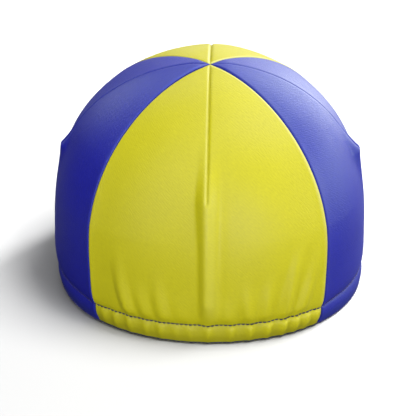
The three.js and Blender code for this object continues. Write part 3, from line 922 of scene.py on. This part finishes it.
def make_stitch_tree():
    """Stitches along a line of points, which carry the cloth's outward direction"""
    tree = bpy.data.node_groups.new("stitch_row", "GeometryNodeTree")
    sizes = {name: "Float" for name in HEM_STITCH}
    add_sockets(tree, "INPUT", {"Line": "Geometry", **sizes, "Seed": "Int", "Thread": "Material"})
    add_sockets(tree, "OUTPUT", {"Stitches": "Geometry"})
    given = add_node(tree, "NodeGroupInput").outputs
    curve = add_node(tree, "GeometryNodeMeshToCurve", {"Mesh": given["Line"]})
    spacing = {"Curve": curve.outputs["Curve"], "Length": given["Pitch"]}
    spaced = add_node(tree, "GeometryNodeResampleCurve", spacing, mode="LENGTH")
    half = maths(tree, "MULTIPLY", given["Length"], 0.5)
    dip = maths(tree, "MULTIPLY", given["Dip"], -1.0)
    high = maths(tree, "ADD", maths(tree, "MULTIPLY", given["Rise"], 2.0), given["Dip"])
    start = add_node(tree, "ShaderNodeCombineXYZ", {"X": maths(tree, "MULTIPLY", half, -1.0), "Z": dip})
    middle = add_node(tree, "ShaderNodeCombineXYZ", {"Z": high})
    end = add_node(tree, "ShaderNodeCombineXYZ", {"X": half, "Z": dip})
    bend = {"Start": start.outputs[0], "Middle": middle.outputs[0], "End": end.outputs[0]}
    arch = add_node(tree, "GeometryNodeCurveQuadraticBezier", {"Resolution": ARCH_POINTS, **bend})
    round_thread = {"Resolution": THREAD_SIDES, "Radius": given["Thread Radius"]}
    profile = add_node(tree, "GeometryNodeCurvePrimitiveCircle", round_thread)
    tube = {"Curve": arch.outputs["Curve"], "Profile Curve": profile.outputs["Curve"], "Fill Caps": True}
    stitch = add_node(tree, "GeometryNodeCurveToMesh", tube)
    along = add_node(tree, "GeometryNodeInputTangent").outputs[0]
    outward = add_node(tree, "GeometryNodeInputNamedAttribute", {"Name": "outward"}, data_type="FLOAT_VECTOR")
    facing = add_node(tree, "FunctionNodeAlignRotationToVector", {"Vector": along}, axis="X")
    upright = add_node(
        tree,
        "FunctionNodeAlignRotationToVector",
        {"Rotation": facing.outputs[0], "Vector": outward.outputs["Attribute"]},
        axis="Z",
        pivot_axis="X",
    )
    uneven = add_node(tree, "FunctionNodeRandomValue", {"Seed": given["Seed"]}, data_type="FLOAT_VECTOR")
    uneven.inputs[0].default_value = STITCH_SIZES["least"]
    uneven.inputs[1].default_value = STITCH_SIZES["most"]
    placed = add_node(
        tree,
        "GeometryNodeInstanceOnPoints",
        {
            "Points": spaced.outputs["Curve"],
            "Instance": stitch.outputs["Mesh"],
            "Rotation": upright.outputs[0],
            "Scale": uneven.outputs[0],
        },
    )
    finished(tree, placed.outputs["Instances"], given["Thread"], "Stitches")
    return tree


STITCH_TREE = make_stitch_tree()


def sew(name, lines, outwards, stitch, thread, row):
    """Makes one object with a stitch row along each line"""
    points = []
    edges = []
    for line, outward in zip(lines, outwards):
        first = len(points)
        points += ((line + outward * STITCH_LIFT[row]) / 1000).tolist()
        edges += [(first + step, first + step + 1) for step in range(len(line) - 1)]
    mesh = bpy.data.meshes.new(name)
    mesh.from_pydata(points, edges, [])
    mark_points(mesh, "outward", np.concatenate(outwards))
    sizes = {size: value / 1000 for size, value in stitch.items()}
    return grown(name, mesh, STITCH_TREE, {**sizes, "Seed": STITCH_SEEDS[row], "Thread": thread})


def outward_of(line, flat):
    """The crown's outward direction at points near it"""
    turn = np.degrees(np.arctan2(line[:, 0], -(line[:, 1] - APEX_Y)))
    outward = crown_normal(turn, line[:, 2])
    if flat:
        outward[:, 2] = 0
    return outward / np.linalg.norm(outward, axis=-1, keepdims=True)


def peak_row(inset):
    """The line on the peak's upper side that runs at one distance from its edge"""
    width = np.linalg.norm(peak_edge - peak_brow, axis=-1)
    broad = width > NARROWEST_FOR_ROW * inset
    out = 1 - inset / width[broad]
    line = peak_brow[broad] + (peak_edge - peak_brow)[broad] * out[:, None]
    line[:, 2] += PEAK["Arch"] * np.sin(np.pi * out) * peak_middle[broad]
    line[:, 2] += PEAK["Thickness"] / 2 - PEAK["Groove Depth"]
    return line


for thread, places in ((NAVY_THREAD, ("back", "front")), (BLUE_THREAD, ("left", "right"))):
    ends = "_and_".join(places)
    hem_lines = [stitch_lines[place][1:-1] for place in places]
    upward = [outward_of(line, False) for line in hem_lines]
    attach(sew(f"hem_stitches_{ends}", hem_lines, upward, HEM_STITCH, thread, "hem"), "root")
    rim_lines = [edge_lines[place][1:-1] for place in places]
    level = [outward_of(line, True) for line in rim_lines]
    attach(sew(f"edge_stitches_{ends}", rim_lines, level, EDGE_STITCH, thread, "edge"), "root")
sewn_lines = [peak_row(PEAK[row]) for row in ("Outer Row", "Inner Row")]
skyward = [np.tile([0.0, 0.0, 1.0], (len(line), 1)) for line in sewn_lines]
peak_stitches = sew("peak_stitches", sewn_lines, skyward, HEM_STITCH, BLUE_THREAD, "peak")
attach(peak_stitches, "root")

# The cap stands on a white studio table between soft lamps, the strongest beyond it on its right. Three lamps
# light only the blue panels, and the table has lamps of its own, so that it stays white apart from the cap's
# shadow. The table throws little light back, as if it was flagged.
FLOOR_RADIUS = 780
FLOOR_CORNERS = 128
PAPER_WHITE = (0.3, 0.3, 0.3)
PAPER_BOUNCE = (0.03, 0.03, 0.03)
PAPER_LOOK = {"roughness": 0.9, "gloss": 0.1}
SKY_SEEN = 1.0
SKY_GIVEN = 0.02
LAMP_TARGET = Vector((0, APEX_Y, 50)) / 1000
LAMP_DISTANCE = 2000

# A lamp's turn from the camera's side, its elevation, its size in metres and its power in watts
CAP_LAMPS = {
    "key_softbox": (148, 19, 1.2, 20),
    "key_high_softbox": (140, 50, 0.9, 3),
    "right_back_softbox": (110, 10, 0.9, 11),
    "right_softbox": (79, 8, 1.0, 8),
    "high_softbox": (90, 55, 0.9, 14.6),
    "top_softbox": (30, 75, 0.9, 7.6),
    "camera_softbox": (357, 24, 1.4, 4.5),
    "low_softbox": (20, 5, 0.9, 17.5),
    "left_low_softbox": (325, 10, 1.1, 7.7),
    "left_high_softbox": (330, 45, 1.1, 8.4),
    "rear_left_softbox": (225, 30, 1.1, 5.5),
    "rear_right_softbox": (160, 40, 0.9, 3.6),
    "rear_softbox": (198, 58, 1.1, 9),
    "rear_low_softbox": (180, 8, 0.9, 3.5),
}
TABLE_LAMPS = {
    "table_key": (140, 20, 0.45, 135),
    "table_key_side": (130, 16, 0.5, 32),
    "table_key_back": (150, 14, 0.7, 15),
    "table_high": (88, 65, 1.2, 96),
    "table_top": (0, 80, 1.2, 24),
    "table_front_right": (45, 50, 0.9, 36),
    "table_left_front": (320, 20, 1.0, 12),
    "table_left_back": (240, 14, 0.9, 9),
}
SIDE_LAMPS = {
    "side_edge_softbox": (150, 3, 0.9, 9),
    "side_right_softbox": (153, 42, 0.8, 3.4),
    "side_left_softbox": (222, 26, 0.8, 2.6),
}

floor_mesh = bpy.data.meshes.new("studio_floor")
floor_turns = [2 * math.pi * step / FLOOR_CORNERS for step in range(FLOOR_CORNERS)]
floor_edge = [Vector((math.cos(turn), math.sin(turn), 0)) * FLOOR_RADIUS / 1000 for turn in floor_turns]
floor_mesh.from_pydata(floor_edge, [], [range(FLOOR_CORNERS)])
floor = bpy.data.objects.new("studio_floor", floor_mesh)
bpy.context.scene.collection.objects.link(floor)
paper = bpy.data.materials.new("white_paper")
paper.use_nodes = True
paper_seen = add_node(paper.node_tree, "ShaderNodeLightPath").outputs["Is Camera Ray"]
paper_tone = mix_colors(paper.node_tree, paper_seen, PAPER_BOUNCE, PAPER_WHITE)
paper_surface = paper.node_tree.nodes["Principled BSDF"]
paper.node_tree.links.new(paper_tone, paper_surface.inputs["Base Color"])
paper_surface.inputs["Roughness"].default_value = PAPER_LOOK["roughness"]
paper_surface.inputs["Specular IOR Level"].default_value = PAPER_LOOK["gloss"]
floor_mesh.materials.append(paper)


def place_lamp(name, lamp, lit):
    light = bpy.data.lights.new(name, "AREA")
    turn, elevation, size, power = lamp
    light.shape = "DISK"
    light.size = size
    light.energy = power
    turn = math.radians(turn)
    climb = math.radians(elevation)
    away = Vector((math.sin(turn) * math.cos(climb), -math.cos(turn) * math.cos(climb), math.sin(climb)))
    holder = bpy.data.objects.new(name, light)
    bpy.context.scene.collection.objects.link(holder)
    holder.location = LAMP_TARGET + away * LAMP_DISTANCE / 1000
    holder.rotation_mode = "QUATERNION"
    holder.rotation_quaternion = away.to_track_quat("Z", "Y")
    holder.light_linking.receiver_collection = lit


def light_up(name, things, lamps):
    """Places lamps that light only these things"""
    lit = bpy.data.collections.new(name)
    for thing in things:
        lit.objects.link(thing)
    for lamp_name, lamp in lamps.items():
        place_lamp(lamp_name, lamp, lit)


cap = [thing for thing in bpy.context.scene.collection.objects if thing.type == "MESH" and thing != floor]
blue_panels = [thing for thing in cap if thing.name in ("crown_left", "crown_right")]
light_up("lit_cap", cap, CAP_LAMPS)
light_up("lit_table", [floor], TABLE_LAMPS)
light_up("lit_sides", blue_panels, SIDE_LAMPS)

sky = bpy.data.worlds.new("studio_sky")
bpy.context.scene.world = sky
sky.use_nodes = True
sky_light = sky.node_tree.nodes["Background"].inputs
sky_seen = add_node(sky.node_tree, "ShaderNodeLightPath").outputs["Is Camera Ray"]
sky_range = {"Value": sky_seen, "To Min": SKY_GIVEN, "To Max": SKY_SEEN}
sky_strength = add_node(sky.node_tree, "ShaderNodeMapRange", sky_range)
sky_light["Color"].default_value = (1, 1, 1, 1)
sky.node_tree.links.new(sky_strength.outputs["Result"], sky_light["Strength"])
bpy.context.scene.view_settings.view_transform = "Standard"
bpy.context.scene.view_settings.look = "None"
